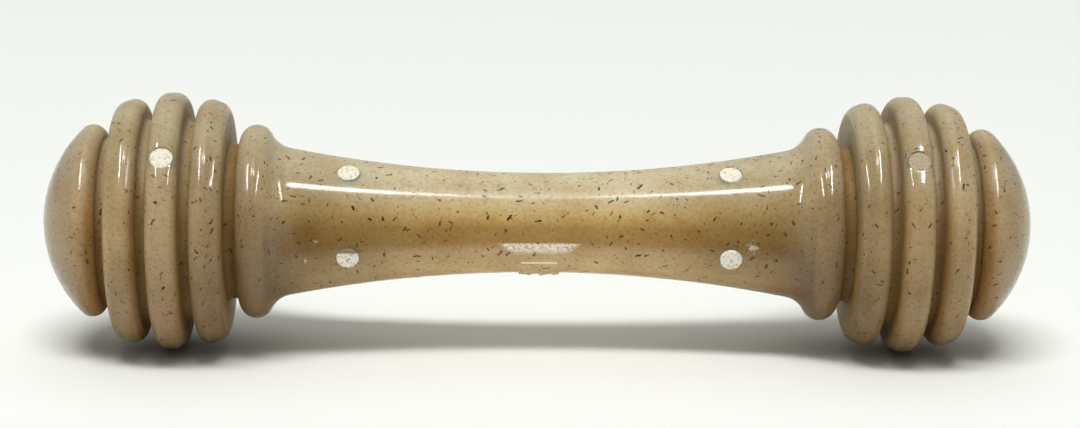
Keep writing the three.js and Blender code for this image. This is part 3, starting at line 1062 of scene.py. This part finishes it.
def key_lamp(stage):
    """The main lamp, in front and above. It isn't mirrored in the nylon, where only the strips show."""
    energy = math.pi ** 2 * KEY_DISTANCE ** 2 * stage.key_light / math.sin(stage.key_angle)
    lamp = area_lamp("key_lamp", KEY_SIZE, energy)
    upright = Vector((0, -math.cos(stage.key_angle), math.sin(stage.key_angle)))
    towards = math.cos(stage.key_swing) * upright - math.sin(stage.key_swing) * Vector((1, 0, 0))
    lamp.location = KEY_DISTANCE * towards
    lamp.rotation_euler = towards.to_track_quat("Z", "Y").to_euler()
    lamp.visible_glossy = False


def flat_sheet(name, low, high, height, material):
    mesh = bpy.data.meshes.new(name)
    corners = [(low[0], low[1]), (high[0], low[1]), (high[0], high[1]), (low[0], high[1])]
    mesh.from_pydata([(*corner, height) for corner in corners], [], [(0, 1, 2, 3)])
    mesh.materials.append(material)
    sheet = new_object(name, mesh)
    return sheet


def matt_card(name, paint, roughness):
    """Matt card. White, it keeps the bone's soft shadow; dark, it shows only mirrored in the nylon."""
    material, add = new_material(name)
    card = add("ShaderNodeBsdfPrincipled", {"Base Color": paint, "Roughness": roughness})
    add("ShaderNodeOutputMaterial", {"Surface": card})
    return material


def surroundings(stage):
    """White walls behind and at the sides, a white strip above and a dim room in front.

    The camera sees plain white instead.
    """
    world = bpy.data.worlds.new("Studio")
    bpy.context.scene.world = world
    world.use_nodes = True
    world.node_tree.nodes.clear()
    add = partial(add_node, world.node_tree)
    way = add("ShaderNodeTexCoord").outputs["Generated"]
    parts = add(SEPARATE, {0: way}).outputs
    aside = add(MATH, {0: parts["X"]}, "ABSOLUTE")
    ceiling = add(MAP_RANGE, {0: parts["Z"], **CEILING, 4: stage.top_light})
    strip = add(MAP_RANGE, {0: aside, **CEILING_STRIP})
    level = add(MATH, {0: ceiling, 1: strip}, "MULTIPLY")
    back = add(MAP_RANGE, {0: parts["Y"], **BACK_WALL, 4: stage.back_light})
    side = add(MAP_RANGE, {0: aside, **SIDE_WALLS, 4: stage.side_light})
    for other in (back, side, stage.front_light):
        level = add(MATH, {0: level, 1: other}, "MAXIMUM")
    room = add("ShaderNodeBackground", {"Color": stage.wall, "Strength": level})
    plain = add("ShaderNodeBackground", {"Color": stage.floor, "Strength": 1})
    seen = add("ShaderNodeLightPath").outputs["Is Camera Ray"]
    both = add("ShaderNodeMixShader", {0: seen, 1: room, 2: plain})
    add("ShaderNodeOutputWorld", {"Surface": both})


def camera_at_photo_view(stage, axis_height):
    """A camera in front of the bone, a little above it, with the bone's right end turned slightly away."""
    data = bpy.data.cameras.new("Camera")
    data.lens = stage.lens
    data.sensor_width = SENSOR_WIDTH
    camera = new_object("Camera", data)
    turn = Matrix.Rotation(-stage.swing, 4, "Z") @ Matrix.Rotation(math.pi / 2 - stage.elevation, 4, "X")
    turn @= Matrix.Rotation(stage.tilt, 4, "Z")
    place = Matrix.Translation((stage.aim_right, stage.aim_up, stage.distance))
    camera.matrix_world = Matrix.Translation((0, 0, axis_height)) @ turn @ place
    bpy.context.scene.camera = camera


class ChewBoneStage(bpy.types.Operator):
    """Sets up the floor, the surroundings, the lamps and the camera"""

    bl_idname = "chew_bone.make_stage"
    bl_label = "Stage"

    def execute(self, context):
        stage = context.scene.chew_bone_stage
        axis_height = context.scene.chew_bone_sizes.ball_radius
        half = stage.floor_size / 2
        white_card = matt_card("White card", stage.floor, roughness=0.7)
        flat_sheet("floor", (-half, -half), (half, half), 0, white_card)
        dark_card = matt_card("Dark card", stage.flag, roughness=0.9)
        flag = flat_sheet("mirrored_flag", (-half, -half), (half, FLAG_EDGE), FLAG_HEIGHT, dark_card)
        for kind in ("camera", "shadow", "transmission", "diffuse"):
            setattr(flag, f"visible_{kind}", False)
        surroundings(stage)
        for name, (start, end, width, radiance, height) in STRIP_LAMPS.items():
            strip_lamp(name, start, end, width, radiance, axis_height + height)
        key_lamp(stage)
        camera_at_photo_view(stage, axis_height)
        context.scene.view_settings.view_transform = "Standard"
        return {"FINISHED"}


class ChewBonePanel(bpy.types.Panel):
    """Lists the bone's pieces and its sizes, colours and stage"""

    bl_idname = "VIEW3D_PT_chew_bone"
    bl_label = "Chew bone"
    bl_space_type = "VIEW_3D"
    bl_region_type = "UI"
    bl_category = "Chew bone"

    def draw(self, context):
        for operator in OPERATORS:
            self.layout.operator(operator.bl_idname)
        for name in GROUPS:
            box = self.layout.box()
            settings = getattr(context.scene, name)
            for value in settings.__annotations__:
                box.prop(settings, value)


GROUPS = {
    "chew_bone_sizes": BoneSizes,
    "chew_bone_colours": BoneColours,
    "chew_bone_stage": StageSettings,
}
OPERATORS = (ChewBoneStage, ChewBoneGrip, ChewBoneKnobs, ChewBoneStems, ChewBonePins)


def register():
    for kind in (*GROUPS.values(), *OPERATORS, ChewBonePanel):
        bpy.utils.register_class(kind)
    for name, kind in GROUPS.items():
        setattr(bpy.types.Scene, name, PointerProperty(type=kind))


def unregister():
    for name in GROUPS:
        delattr(bpy.types.Scene, name)
    for kind in (ChewBonePanel, *reversed(OPERATORS), *GROUPS.values()):
        bpy.utils.unregister_class(kind)


def main():
    register()
    bpy.ops.chew_bone.make_stage()
    bpy.ops.chew_bone.make_grip()
    bpy.ops.chew_bone.make_knobs()
    bpy.ops.chew_bone.make_stems()
    bpy.ops.chew_bone.make_pins()


if __name__ == "__main__":
    main()
